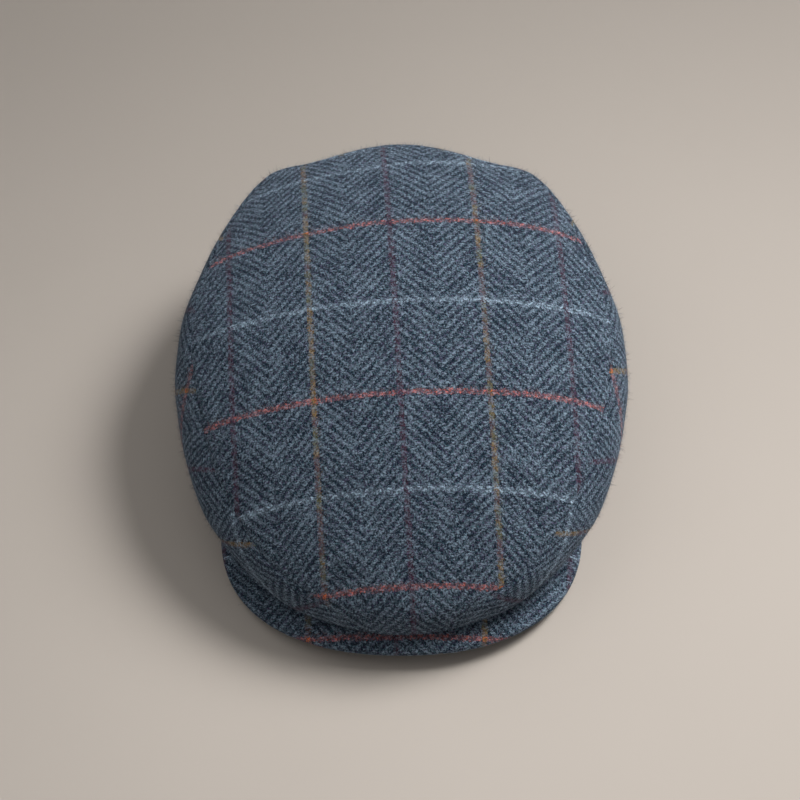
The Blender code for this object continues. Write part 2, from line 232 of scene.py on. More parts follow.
# Outer face of the crown at a place round the loop and a step down its face:
# 0 at the centre, 1 on the shoulder, 2 on the widest line, 3 at the rim
def crownSurface(place, step):
    place, step = np.broadcast_arrays(np.asarray(place, float), np.asarray(step, float))
    row = sectionAt(place)
    widestXy = np.stack([row["across"] * crownHalfWidth, row["along"] * capHalfLength], axis=-1)
    widest = withHeight(widestXy, row["up"] * crown["height"])
    drop = row["drop"] * crown["shoulderDrop"]
    away = unit(widestXy)
    shoulderXy = widestXy - away * row["inset"][..., None] * crown["shoulderInset"]
    shoulder = withHeight(shoulderXy, topHeight(shoulderXy[..., 0], shoulderXy[..., 1]) - drop)

    out = np.clip(step, 0.0, 1.0)
    topXy = shoulderXy * out[..., None]
    top = withHeight(topXy, topHeight(topXy[..., 0], topXy[..., 1]) - drop * out ** crown["edgeTurnPower"])

    reach = np.linalg.norm(shoulderXy, axis=-1)
    slope = topSlope(shoulderXy[..., 0], shoulderXy[..., 1], away) - drop * crown["edgeTurnPower"] / reach
    leave = unit(withHeight(away, slope))
    down = np.zeros_like(widest)
    down[..., 2] = -1
    chord = np.linalg.norm(widest - shoulder, axis=-1, keepdims=True)
    share = np.clip(step - 1, 0.0, 1.0)[..., None]
    turnStart = leave * chord * crown["shoulderPull"]
    turn = curveBetween(shoulder, widest, turnStart, down * chord * crown["widestPull"], share)

    rimXy = rimPoint(np.arctan2(widestXy[..., 1] - headY, widestXy[..., 0]))
    onPeak = ease((tipY + peak["rimReturn"] - rimXy[..., 1]) / peak["rimReturn"])
    rimZ = (peakTop(rimXy[..., 0], np.minimum(rimXy[..., 1], tipY)) + crown["clearance"]) * onPeak
    rim = withHeight(rimXy, rimZ)
    tuck = np.clip(row["tuck"], 0.0, 1.0)[..., None]
    inward = unit(rimXy - widestXy)
    arriveDown = np.concatenate([inward * crown["rimLean"], down[..., 2:]], axis=-1)
    arriveTuck = np.concatenate([inward, -down[..., 2:] * crown["tuckClimb"]], axis=-1)
    arrive = unit(arriveDown * (1 - tuck) + arriveTuck * tuck)
    chord = np.linalg.norm(rim - widest, axis=-1, keepdims=True)
    pull = crown["widestPull"] * (1 - tuck) + crown["tuckPull"] * tuck
    share = np.clip(step - 2, 0.0, 1.0)[..., None]
    side = curveBetween(widest, rim, down * chord * pull, arrive * chord * crown["rimPull"], share)

    points = np.where((step > 1)[..., None], turn, top)
    points = np.where((step > 2)[..., None], side, points)
    x, y, z = np.moveaxis(points, -1, 0)
    overPeak = (peakShare(x, y) < 1) & (y < tipY) & (step > 1)
    lowest = np.where(overPeak, peakTop(x, y) + crown["clearance"], 0.0)
    return np.stack([x, y, np.maximum(z, lowest)], axis=-1)


def crownNormal(place, step, apart=0.004):
    roundCap = crownSurface(place + apart, step) - crownSurface(place - apart, step)
    below = crownSurface(place, np.minimum(step + apart, 3))
    downCap = below - crownSurface(place, np.maximum(step - apart, 0))
    return unit(np.cross(downCap, roundCap))


# Paths down the cap, from the crown's centre to the rim
pathsPerSection = 40
stepsPerPath = 300
pathPlaces = np.linspace(0.0, wholeLoop, pathsPerSection * wholeLoop + 1)
pathSteps = np.linspace(0.0, 3.0, stepsPerPath + 1)
pathPoints = crownSurface(pathPlaces[:, None], pathSteps[None, :])
pathPieces = np.linalg.norm(np.diff(pathPoints, axis=1), axis=-1)
pathLengths = np.concatenate([np.zeros((len(pathPlaces), 1)), np.cumsum(pathPieces, axis=1)], axis=1)
seamPoints = crownSurface(pathPlaces, seamStep(pathPlaces))
seamPieces = np.linalg.norm(np.diff(seamPoints, axis=0), axis=1)
seamAlong = np.concatenate([[0.0], np.cumsum(seamPieces)])  # seam length from the centre front
seamLengths = np.array([np.interp(s, pathSteps, p) for s, p in zip(seamStep(pathPlaces), pathLengths)])
shoulderLengths = np.array([np.interp(1.0, pathSteps, p) for p in pathLengths])
print("form ready")


# Tweed: 2/2 twill whose direction turns every 16 ends, with a coloured line on every second turn
tweed = {
    "endSpacing": 1.284 * mm,  # warp yarn to warp yarn
    "pickSpacing": 1.278 * mm,  # weft yarn to weft yarn
    "endsPerCheck": 32,
    "picksPerCheck": 36,
    "lineYarns": 2,  # in each coloured line
    "thick": 2.2 * mm,
}
checkAcross = tweed["endsPerCheck"] * tweed["endSpacing"]
checkAlong = tweed["picksPerCheck"] * tweed["pickSpacing"]

# How the flat cloth lies on the top panel, in millimetres of cloth from the panel's middle
topCloth = {
    "tilt": 3.33,  # degrees that the grain is off the cap's centre line
    "warpLines": (-166, -125, -83.7, -44.6, -4.6, 37.0, 77.9, 119, 160),  # plum, mustard and so on
    "firstWarpLine": -4,
    "weftLines": (-203, -157.4, -114.7, -69.6, -23.5, 22.3, 64.4, 110, 156),  # pale, coral and so on
    "firstWeftLine": -1,
    "bow": 5.0,  # how far the back lines bow forwards at their ends
    "twist": 8.0,  # how far they swing round
    "bowStart": -23,
    "bowReach": 87,
    "bowLimit": 1.3,
    "halfSpan": 80,
}

# How the flat cloth lies on a side panel, in millimetres along the seam and down from it
sideCloth = {
    "seamAt": (0, 60, 85, 95, 110, 130, 170, 260, 400),
    "warpLean": (20, 40, 43, 44, 42, 38, 26, 12, 0),  # degrees that each thread leans at those places
    "weftLean": (4, 10, 20, 26, 32, 36, 27, 12, 0),
    "gather": 1.2,  # cloth eased onto each length of seam
    "coralAt": 5.9,  # below the seam
    "coralPlace": 166.5,  # along the seam
    "firstLine": -5,
}

# Where its warp lines meet the seam: mustard, plum and so on
sideLines = {
    "sidePanelLeft": (-80, -39, 2, 44, 85, 125, 165.5, 208, 250, 291, 332, 373, 414, 455),
    "sidePanelRight": (-76, -34, 8, 50, 91, 129, 176, 218, 260, 301, 342, 383, 424, 465),
}

peakCloth = {"plumAt": -2.5, "coralAt": -121.7}  # millimetres across and along the cap

seam = {
    "halfGap": 0.07 * mm,
    "groove": 0.45 * mm,
    "grooveReach": 1.5 * mm,
    "pucker": 0.06 * mm,
    "puckerLength": 11 * mm,
    "puckerReach": 9 * mm,
    "puckerDrift": 1.7,  # how far the puckers' spacing wanders, over this length:
    "driftLength": 37 * mm,
}

# Slow rises and falls that soft cloth keeps after it was pressed over a block
softness = {
    "height": 0.45 * mm,
    "waves": ((31, 0.7, 0.3), (43, 2.1, 1.9), (27, 4.4, 4.0), (55, 5.6, 2.6)),  # length, direction, start
    "steepness": 0.5,  # the waves' direction up the cap
    "seamCalm": 14 * mm,  # the seams and the rim hold the cloth still over these lengths
    "rimCalm": 16 * mm,
}
weldDistance = 0.002 * mm  # points closer than this become one


def domeArc(distance, bend):
    slant = np.sqrt(1 + (bend * distance) ** 2)
    return 0.5 * (distance * slant + np.arcsinh(bend * distance) / bend)


# Flat cloth position of points on the crown's dome: equal lengths along both threads, only sheared
def domeCloth(x, y):
    bendX = 2 * crown["fallAcross"] * crown["height"] / crownHalfWidth**2
    bendY = 2 * crown["fallAlong"] * crown["height"] / capHalfLength**2
    return np.stack([domeArc(x, bendX), domeArc(y - crown["topBehindMiddle"], bendY)], axis=-1)


def topClothAt(place, step, pastShoulder):
    onTop = crownSurface(place, np.minimum(step, 1.0))
    edge = crownSurface(place, 1.0)
    away = unit(edge[..., :2])
    flat = domeCloth(onTop[..., 0], onTop[..., 1]) + away * pastShoulder[..., None]
    tilt = math.radians(topCloth["tilt"])
    across = (flat[..., 0] * math.cos(tilt) + flat[..., 1] * math.sin(tilt)) / mm
    along = (flat[..., 1] * math.cos(tilt) - flat[..., 0] * math.sin(tilt)) / mm
    back = np.clip((along - topCloth["bowStart"]) / topCloth["bowReach"], 0.0, topCloth["bowLimit"])
    side = across / topCloth["halfSpan"]
    along = along + topCloth["bow"] * side**2 * back - topCloth["twist"] * side * back**2
    warpNumbers = topCloth["firstWarpLine"] + np.arange(len(topCloth["warpLines"]))
    weftNumbers = topCloth["firstWeftLine"] + np.arange(len(topCloth["weftLines"]))
    warp = np.interp(across, topCloth["warpLines"], warpNumbers)
    weft = np.interp(along, topCloth["weftLines"], weftNumbers)
    return np.stack([warp * checkAcross, weft * checkAlong], axis=-1)


def softWave(points):
    total = np.zeros(points.shape[:-1])
    for length, angle, start in softness["waves"]:
        direction = np.array([math.cos(angle), math.sin(angle), softness["steepness"]])
        total += np.sin(points @ direction * 2 * math.pi / (length * mm) + start)
    return total * softness["height"] / len(softness["waves"])


def seamPull(along, fromSeam):
    drift = seam["puckerDrift"] * np.sin(along / seam["driftLength"])
    ripple = np.sin(along / seam["puckerLength"] * 2 * math.pi + drift)
    pucker = seam["pucker"] * ripple * np.exp(-((fromSeam / seam["puckerReach"]) ** 2))
    return pucker - seam["groove"] * np.exp(-((fromSeam / seam["grooveReach"]) ** 2))


# Outer and inner face of crown cloth, and its steps, from its places and lengths down the cap
def crownCloth(place, length):
    column = place / wholeLoop * (len(pathPlaces) - 1)
    low = np.floor(column).astype(int)
    high = np.minimum(low + 1, len(pathPlaces) - 1)
    share = column - low
    step = np.empty(place.shape)
    for index in np.ndindex(place.shape):
        near = np.interp(length[index], pathLengths[low[index]], pathSteps)
        far = np.interp(length[index], pathLengths[high[index]], pathSteps)
        step[index] = near + (far - near) * share[index]
    normal = crownNormal(place, np.maximum(step, 0.01))  # the crown's centre itself has no direction
    surface = crownSurface(place, step)
    fromSeam = np.abs(length - np.interp(place, pathPlaces, seamLengths))
    along = np.interp(place, pathPlaces, seamAlong)
    calm = ease(fromSeam / softness["seamCalm"]) * ease(surface[..., 2] / softness["rimCalm"])
    rise = softWave(surface) * calm + seamPull(along, fromSeam)
    outer = surface + normal * rise[..., None]
    return outer, outer - normal * tweed["thick"], step


def addObject(name, data):
    thing = bpy.data.objects.new(name, data)
    scene.collection.objects.link(thing)
    return thing


# Quads over each grid of points, with the grids joined where their borders meet
def weldedMesh(name, grids, material):
    build = bmesh.new()
    clothMap = build.loops.layers.uv.new("cloth")
    for points, cloth in grids:
        rows, columns = points.shape[:2]
        corners = [[build.verts.new(point) for point in row] for row in points.tolist()]
        spots = cloth.tolist()
        for row in range(rows - 1):
            for column in range(columns - 1):
                places = ((row, column), (row + 1, column), (row + 1, column + 1), (row, column + 1))
                face = build.faces.new([corners[r][c] for r, c in places])
                face.smooth = True
                for loop, (r, c) in zip(face.loops, places):
                    loop[clothMap].uv = spots[r][c]
    bmesh.ops.remove_doubles(build, verts=build.verts, dist=weldDistance)
    loose = [vertex for vertex in build.verts if not vertex.link_faces]
    bmesh.ops.delete(build, geom=loose, context="VERTS")
    bmesh.ops.recalc_face_normals(build, faces=build.faces)
    mesh = bpy.data.meshes.new(name)
    build.to_mesh(mesh)
    build.free()
    mesh.materials.append(material)
    return addObject(name, mesh)


# A shell between two open grids, closed all round
def shellGrids(outer, inner, cloth):
    grids = [(outer, cloth), (inner, cloth)]
    for cut in (np.s_[0], np.s_[-1], np.s_[:, 0], np.s_[:, -1]):
        wall = np.stack([outer[cut], inner[cut]])
        grids.append((wall, np.stack([cloth[cut], cloth[cut]])))
    return grids


# sRGB colour as the linear values that Blender works in
def linearColour(hexColour):
    levels = [int(hexColour[i : i + 2], 16) / 255 for i in (1, 3, 5)]
    return tuple([v / 12.92 if v <= 0.04045 else ((v + 0.055) / 1.055) ** 2.4 for v in levels] + [1.0])


# One node with its settings; each input is a value or another node's output
def addNode(tree, kind, settings=None, inputs=None):
    node = tree.nodes.new(kind)
    for name, value in (settings or {}).items():
        setattr(node, name, value)
    for key, value in (inputs or {}).items():
        if isinstance(value, bpy.types.NodeSocket):
            tree.links.new(value, node.inputs[key])
        else:
            node.inputs[key].default_value = value
    return node


# Kinds of node and settings that come up often
mix = "ShaderNodeMix"
noise = "ShaderNodeTexNoise"
number = "ShaderNodeMath"
vector = "ShaderNodeVectorMath"
remap = "ShaderNodeMapRange"
split = "ShaderNodeSeparateXYZ"
join = "ShaderNodeCombineXYZ"
rgb = {"data_type": "RGBA"}
add = {"operation": "ADD"}
multiply = {"operation": "MULTIPLY"}
multiplyAdd = {"operation": "MULTIPLY_ADD"}
above = {"operation": "GREATER_THAN"}


# A material with these constants on its shader
def startMaterial(name, constants):
    material = bpy.data.materials.new(name)
    material.use_nodes = True
    shader = material.node_tree.nodes["Principled BSDF"]
    for socket, value in constants.items():
        shader.inputs[socket].default_value = value
    return material, material.node_tree, shader


# Wool tweed, woven and lightly milled: matt, hairy, dark warp under a light weft, so its twill shows
# as broken light stripes. Yarn-dyed lines: plum and mustard ends, coral and pale blue picks.
yarnDyes = {
    "warp": "#041B30",
    "weft": "#7C8E9E",
    "coral": "#D06C5E",
    # The coral line on the side panels, drawn duller: painted shade
    "coralInPaintedShade": "#A0625C",  # on the sides
    "coralHair": "#9A8893",
    "paleBlue": "#9FB4C6",
    "tan": "#95784B",
    "olive": "#6A6846",
    "roseBrown": "#6C4D4C",
    "plum": "#4B2236",
    "crossing": "#E6733A",
    "fleckTeal": "#467A82",
    "fleckHeather": "#66557A",
}
yarns = {name: linearColour(dye) for name, dye in yarnDyes.items()}

# A scale is in noise cells a metre of cloth. A range says between which noise values something sets in,
# a shade how dark and how light it gets, both by the socket of Map Range that takes the value.
weave = {
    "driftScale": 430.0,  # yarns wander over 2 mm or so
    "drift": 0.6,  # how far, in yarns
    "fuzzScale": 1300.0,  # ragged edges of the floats, under a millimetre long
    "fuzz": 1.3,
    "balance": 0.30,  # light yarn against dark
    "twill": 0.62,  # how strongly the twill's stripes show
    "floats": 0.45,  # how unlike its neighbours each float is
    "slubScale": 90.0,
    "slubs": 1.25,  # how strongly thick and thin stretches show
    "hairScale": 800.0,
    "hairRatio": 1.4,  # hairs are this much longer than wide
    "specks": 3.1,  # how strongly single hairs show light and dark
    # Single hairs drawn lighter and darker: partly their own tone, partly painted light on them and
    # painted shade between them
    "speckRange": {1: 0.38, 2: 0.60},
    "speckShade": {3: 0.50, 4: 1.36},
    "speckHeight": 1.5,  # against the height of a yarn
    # Painted shade and light on each yarn: colour darkened down between the yarns and lifted a little on
    # top of them
    "yarnTop": 0.8,  # share of a yarn's height above which it is fully lit
    "paintedYarnShade": (0.62, 1.04),  # between the yarns, and on top of them
    "fleckScale": 1100.0,
    "fleckRange": {1: 0.55, 2: 0.70},
    "flecks": 0.45,
    "bump": 0.24 * mm,
    "bumpStrength": 0.8,
}

overcheck = {
    "blendScale": 900.0,
    "marlRange": {1: 0.44, 2: 0.58},
    "plumMarl": 0.66,  # most warp hairs in a plum end
    "mustardMarl": 0.51,
    "coralRange": {1: 0.40, 2: 0.56},
    "melangeScale": 110.0,  # the mustard yarn runs from tan to olive and rose brown
    "oliveRange": {1: 0.44, 2: 0.56},
    "roseRange": {1: 0.50, 2: 0.60},
    "tintEnds": 0.25,  # how much a line's hairs colour the yarns that cross it
    "tintPicks": 0.30,
}

tweedFace = {
    "Roughness": 0.93,
    "Specular IOR Level": 0.25,
    "Sheen Weight": 0.15,
    "Sheen Roughness": 0.55,
    "Sheen Tint": linearColour("#A8B4C4"),
}


# The number of the end and pick at each point, and how far across them the point is
def yarnPlaces(tree, cloth):
    spacing = (1 / tweed["endSpacing"], 1 / tweed["pickSpacing"], 0.0)
    threads = addNode(tree, vector, multiply, {0: cloth, 1: spacing}).outputs[0]
    for scale, amount in ((weave["driftScale"], weave["drift"]), (weave["fuzzScale"], weave["fuzz"])):
        shift = {"Vector": cloth, "Scale": scale, "Detail": 1.5}
        shift = addNode(tree, noise, {}, shift).outputs["Color"]
        shift = {0: shift, 1: (0.5, 0.5, 0.5)}
        shift = addNode(tree, vector, {"operation": "SUBTRACT"}, shift).outputs[0]
        shift = {0: shift, 1: (2 * amount, 2 * amount, 0.0)}
        shift = addNode(tree, vector, multiply, shift).outputs[0]
        threads = addNode(tree, vector, add, {0: threads, 1: shift}).outputs[0]
    half = 0.5 * tweed["lineYarns"]  # puts the middle of each line on its place
    threads = addNode(tree, vector, add, {0: threads, 1: (half, half, 0.0)}).outputs[0]
    whole = addNode(tree, vector, {"operation": "FLOOR"}, {0: threads}).outputs[0]
    part = addNode(tree, vector, {"operation": "FRACTION"}, {0: threads}).outputs[0]
    return whole, part


# The twill, two up and two down: 1 where the weft is on top, 0 where the warp is
def twillAt(tree, end, pick):
    climb = {0: end, 1: tweed["endsPerCheck"] / 2}
    climb = addNode(tree, number, {"operation": "PINGPONG"}, climb).outputs[0]
    diagonal = addNode(tree, number, add, {0: climb, 1: pick}).outputs[0]
    phase = addNode(tree, number, {"operation": "FLOORED_MODULO"}, {0: diagonal, 1: 4.0}).outputs[0]
    return addNode(tree, number, above, {0: phase, 1: 1.5}).outputs[0]


# Where the yarns of the two coloured lines are, which take turns check by check
def lineYarns(tree, yarn, perCheck):
    count = tweed["lineYarns"]
    place = {0: yarn, 1: 2.0 * perCheck}
    place = addNode(tree, number, {"operation": "FLOORED_MODULO"}, place).outputs[0]
    first = addNode(tree, number, {"operation": "LESS_THAN"}, {0: place, 1: count - 0.5}).outputs[0]
    second = {0: place, 1: perCheck + 0.5 * (count - 1), 2: 0.5 * count}
    return first, addNode(tree, number, {"operation": "COMPARE"}, second).outputs[0]


# Colours of the ends and picks; a line's hairs also tint the yarns that cross it
def yarnColours(tree, cloth, end, pick, coralYarn):
    plum, mustard = lineYarns(tree, end, tweed["endsPerCheck"])
    coral, pale = lineYarns(tree, pick, tweed["picksPerCheck"])
    lineEnd = addNode(tree, number, add, {0: plum, 1: mustard}).outputs[0]
    linePick = addNode(tree, number, add, {0: coral, 1: pale}).outputs[0]
    crossing = addNode(tree, number, multiply, {0: mustard, 1: coral}).outputs[0]

    # Marled ends, coral picks with paler hairs, and the mustard yarn's mixed colours
    blend = {"Vector": cloth, "Scale": overcheck["blendScale"], "Detail": 2.0}
    blend = addNode(tree, noise, {}, blend).outputs[0]
    marl = {0: mustard, 1: overcheck["mustardMarl"] - overcheck["plumMarl"], 2: overcheck["plumMarl"]}
    marl = addNode(tree, number, multiplyAdd, marl).outputs[0]
    marl = addNode(tree, remap, {}, {0: blend, **overcheck["marlRange"], 4: marl}).outputs[0]
    blend = addNode(tree, remap, {}, {0: blend, **overcheck["coralRange"]}).outputs[0]
    redPick = {0: blend, 6: yarns[coralYarn], 7: yarns["coralHair"]}
    redPick = addNode(tree, mix, rgb, redPick).outputs[2]
    slow = {"Vector": cloth, "Scale": overcheck["melangeScale"], "Detail": 1.0}
    slow = addNode(tree, noise, {}, slow).outputs["Color"]
    slow = addNode(tree, "ShaderNodeSeparateColor", {}, {0: slow}).outputs
    olive = addNode(tree, remap, {}, {0: slow[0], **overcheck["oliveRange"]}).outputs[0]
    rose = addNode(tree, remap, {}, {0: slow[1], **overcheck["roseRange"]}).outputs[0]
    melange = addNode(tree, mix, rgb, {0: olive, 6: yarns["tan"], 7: yarns["olive"]}).outputs[2]
    melange = addNode(tree, mix, rgb, {0: rose, 6: melange, 7: yarns["roseBrown"]}).outputs[2]
    endColour = addNode(tree, mix, rgb, {0: mustard, 6: yarns["plum"], 7: melange}).outputs[2]
    endColour = addNode(tree, mix, rgb, {0: marl, 6: endColour, 7: yarns["warp"]}).outputs[2]
    pickColour = addNode(tree, mix, rgb, {0: pale, 6: redPick, 7: yarns["paleBlue"]}).outputs[2]

    tint = addNode(tree, number, multiply, {0: linePick, 1: overcheck["tintEnds"]}).outputs[0]
    warp = addNode(tree, mix, rgb, {0: tint, 6: yarns["warp"], 7: pickColour}).outputs[2]
    warp = addNode(tree, mix, rgb, {0: lineEnd, 6: warp, 7: endColour}).outputs[2]
    tint = addNode(tree, number, multiply, {0: lineEnd, 1: overcheck["tintPicks"]}).outputs[0]
    weft = addNode(tree, mix, rgb, {0: tint, 6: yarns["weft"], 7: endColour}).outputs[2]
    weft = addNode(tree, mix, rgb, {0: linePick, 6: weft, 7: pickColour}).outputs[2]
    weft = addNode(tree, mix, rgb, {0: crossing, 6: weft, 7: yarns["crossing"]}).outputs[2]
    return warp, weft


# Salt and pepper: single hairs of both yarns, lying along the yarn that they belong to,
# and from them the share of light yarn at each point
def saltAndPepper(tree, cloth, whole, weftUp):
    ratio = weave["hairRatio"]
    lie = {0: weftUp, 4: (ratio, 1.0, 1.0), 5: (1.0, ratio, 1.0)}
    lie = addNode(tree, mix, {"data_type": "VECTOR"}, lie).outputs[1]
    hairs = addNode(tree, vector, multiply, {0: cloth, 1: lie}).outputs[0]
    hairs = {"Vector": hairs, "Scale": weave["hairScale"], "Detail": 2.0, "Roughness": 0.6}
    hairs = addNode(tree, noise, {}, hairs).outputs[0]
    cell = {"Vector": whole}
    cell = addNode(tree, "ShaderNodeTexWhiteNoise", {"noise_dimensions": "2D"}, cell).outputs[0]
    slub = {"Vector": cloth, "Scale": weave["slubScale"], "Detail": 3.0}
    slub = addNode(tree, noise, {}, slub).outputs[0]
    causes = {"twill": weftUp, "floats": cell, "slubs": slub, "specks": hairs}
    tone = weave["balance"] - 0.5 * sum(weave[key] for key in causes)
    for key, cause in causes.items():
        tone = addNode(tree, number, multiplyAdd, {0: cause, 1: weave[key], 2: tone}).outputs[0]
    return hairs, addNode(tree, "ShaderNodeClamp", {}, {0: tone}).outputs[0]


def makeTweed(name, paintedPanelShade, coralYarn):
    material, tree, shader = startMaterial(name, tweedFace)
    cloth = addNode(tree, "ShaderNodeUVMap", {"uv_map": "cloth"}).outputs[0]
    whole, part = yarnPlaces(tree, cloth)
    numbers = addNode(tree, split, {}, {0: whole}).outputs
    parts = addNode(tree, split, {}, {0: part}).outputs
    weftUp = twillAt(tree, numbers[0], numbers[1])
    warp, weft = yarnColours(tree, cloth, numbers[0], numbers[1], coralYarn)
    hairs, tone = saltAndPepper(tree, cloth, whole, weftUp)
    yarn = addNode(tree, mix, rgb, {0: tone, 6: warp, 7: weft}).outputs[2]

    # Heather flecks
    fleck = {"Vector": cloth, "Scale": weave["fleckScale"], "Detail": 1.0}
    fleck = addNode(tree, noise, {}, fleck).outputs["Color"]
    fleck = addNode(tree, "ShaderNodeSeparateColor", {}, {0: fleck}).outputs
    for amount, colour in ((fleck[0], "fleckTeal"), (fleck[1], "fleckHeather")):
        share = {0: amount, **weave["fleckRange"], 4: weave["flecks"]}
        share = addNode(tree, remap, {}, share).outputs[0]
        yarn = {0: share, 6: yarn, 7: yarns[colour]}
        yarn = addNode(tree, mix, rgb, yarn).outputs[2]

    # Every float is round across its yarn. Painted shade darkens the colour down between the yarns and
    # painted light lifts it a little on top of them; single hairs are lighter and darker, partly their own
    # tone and partly painted light and shade
    side = addNode(tree, mix, {}, {0: weftUp, 2: parts[0], 3: parts[1]}).outputs[0]
    crest = addNode(tree, number, multiply, {0: side, 1: math.pi}).outputs[0]
    crest = addNode(tree, number, {"operation": "SINE"}, {0: crest}).outputs[0]
    between, onTop = weave["paintedYarnShade"]
    paintedShadeBetweenYarns = {0: crest, 1: 0.0, 2: weave["yarnTop"], 3: between * paintedPanelShade, 4: onTop * paintedPanelShade}
    hairToneAndPaintedShade = {0: hairs, **weave["speckRange"], **weave["speckShade"]}
    for light in (paintedShadeBetweenYarns, hairToneAndPaintedShade):
        light = addNode(tree, remap, {}, light).outputs[0]
        yarn = addNode(tree, vector, {"operation": "SCALE"}, {0: yarn, 3: light}).outputs[0]
    tree.links.new(yarn, shader.inputs["Base Color"])

    height = addNode(tree, number, multiplyAdd, {0: hairs, 1: weave["speckHeight"], 2: crest}).outputs[0]
    bump = {"Strength": weave["bumpStrength"], "Distance": weave["bump"], "Height": height}
    bump = addNode(tree, "ShaderNodeBump", {}, bump).outputs[0]
    tree.links.new(bump, shader.inputs["Normal"])
    return material


# The number is painted shade: the side panels and the peak are drawn a little darker than the top panel,
# in the same tweed
tweedTop = makeTweed("woolTweedTop", 1.0, "coral")
tweedSide = makeTweed("woolTweedSide", 0.97, "coralInPaintedShade")
tweedPeak = makeTweed("woolTweedPeak", 0.97, "coral")
print("tweed ready")


# Top panel: a square of cloth squares, bent round so that its border follows the seam
topPanel = {"squares": 184, "seamCrowd": 1.35}


def makeTop():
    ruler = np.linspace(-1.0, 1.0, topPanel["squares"] + 1)
    ruler = np.sign(ruler) * (1 - (1 - np.abs(ruler)) ** topPanel["seamCrowd"])
    across, along = np.meshgrid(ruler, ruler, indexing="ij")
    out = np.maximum(np.abs(across), np.abs(along))
    sideways = np.abs(across) >= np.abs(along)
    over = np.where(sideways & (across != 0), across, 1.0)
    sideAngle = math.pi / 4 * along / over + np.where(across < 0, math.pi, 0)
    over = np.where(sideways, 1.0, along)
    endAngle = math.pi / 2 - math.pi / 4 * across / over + np.where(along < 0, math.pi, 0)
    angle = np.where(sideways, sideAngle, endAngle)
    place = (angle / (2 * math.pi) * wholeLoop + wholeLoop / 4) % wholeLoop
    length = out * (np.interp(place, pathPlaces, seamLengths) - seam["halfGap"])
    outer, inner, step = crownCloth(place, length)
    pastShoulder = np.maximum(length - np.interp(place, pathPlaces, shoulderLengths), 0.0)
    cloth = topClothAt(place, step, pastShoulder)
    return weldedMesh("topPanel", shellGrids(outer, inner, cloth), tweedTop), (outer, cloth)


# Side panels: from the centre front under the roll, round to the centre back
sidePanel = {"columns": 270, "rows": 46, "edgeCrowd": 1.25, "edgeRadius": 1.0 * mm, "edgeDepth": 0.8}


def makeSide(name, mirror):
    places = np.linspace(0.0, halfLoop, sidePanel["columns"] + 1)
    start = np.interp(places, pathPlaces, seamLengths) + seam["halfGap"]
    rim = np.array([np.interp(place, pathPlaces, pathLengths[:, -1]) for place in places])
    share = np.linspace(0.0, 1.0, sidePanel["rows"] + 1)
    crowd = sidePanel["edgeCrowd"]  # rows lie closer at the seam and at the rim
    share = share**crowd * (1 - share) + (1 - (1 - share) ** crowd) * share
    length = start[None, :] + share[:, None] * (rim - start)[None, :]
    place = np.broadcast_to(places, length.shape)
    outer, inner = crownCloth(place, length)[:2]

    # Flat cloth: warp lines and weft lines cross the seam at their own angles
    along = np.interp(places, pathPlaces, seamAlong)
    warpLean = np.radians(np.interp(along / mm, sideCloth["seamAt"], sideCloth["warpLean"]))
    weftLean = np.radians(np.interp(along / mm, sideCloth["seamAt"], sideCloth["weftLean"]))
    drop = np.cumsum(np.gradient(along) * np.sin(weftLean)) * sideCloth["gather"]
    fromSeam = length - start[None, :]
    lines = (sideCloth["firstLine"] + np.arange(len(sideLines[name]))) * checkAcross
    clothX = np.interp((along - fromSeam * np.tan(warpLean)) / mm, sideLines[name], lines)
    clothY = drop - np.interp(sideCloth["coralPlace"] * mm, along, drop) - sideCloth["coralAt"] * mm
    cloth = np.stack([clothX, clothY + fromSeam * np.cos(weftLean)], axis=-1)

    # The rim is rounded and level, just clear of the ground, and the ends stop half a gap from the middle
    fromRim = rim[None, :] - length
    radius = sidePanel["edgeRadius"]
    deep = np.clip(1 - fromRim / radius, 0.0, 1.0)
    inset = radius * (1 - np.sqrt(np.maximum(1 - deep**2, 0.0)))[..., None]
    roundIn = unit(outer - inner) * inset * sidePanel["edgeDepth"]
    outer = outer - roundIn
    inner = inner + roundIn
    for face in (outer, inner):
        face[..., 2] = np.maximum(face[..., 2], 0.0)
        face[:, [0, -1], 0] = seam["halfGap"]
    flip = np.array([mirror, 1.0, 1.0])
    outer = outer * flip
    return weldedMesh(name, shellGrids(outer, inner * flip, cloth), tweedSide), (outer, cloth)


# Peak: a stiff board with cloth drawn over both faces, which meet half way down its rounded edge
peakPiece = {"columns": 220, "rows": 30, "edgeRows": 9, "tipShare": 0.9}


# Length of cloth from the first row of points to each point
def lengthDown(points):
    pieces = np.linalg.norm(np.diff(points, axis=0), axis=-1)
    return np.concatenate([np.zeros((1, points.shape[1])), np.cumsum(pieces, axis=0)])


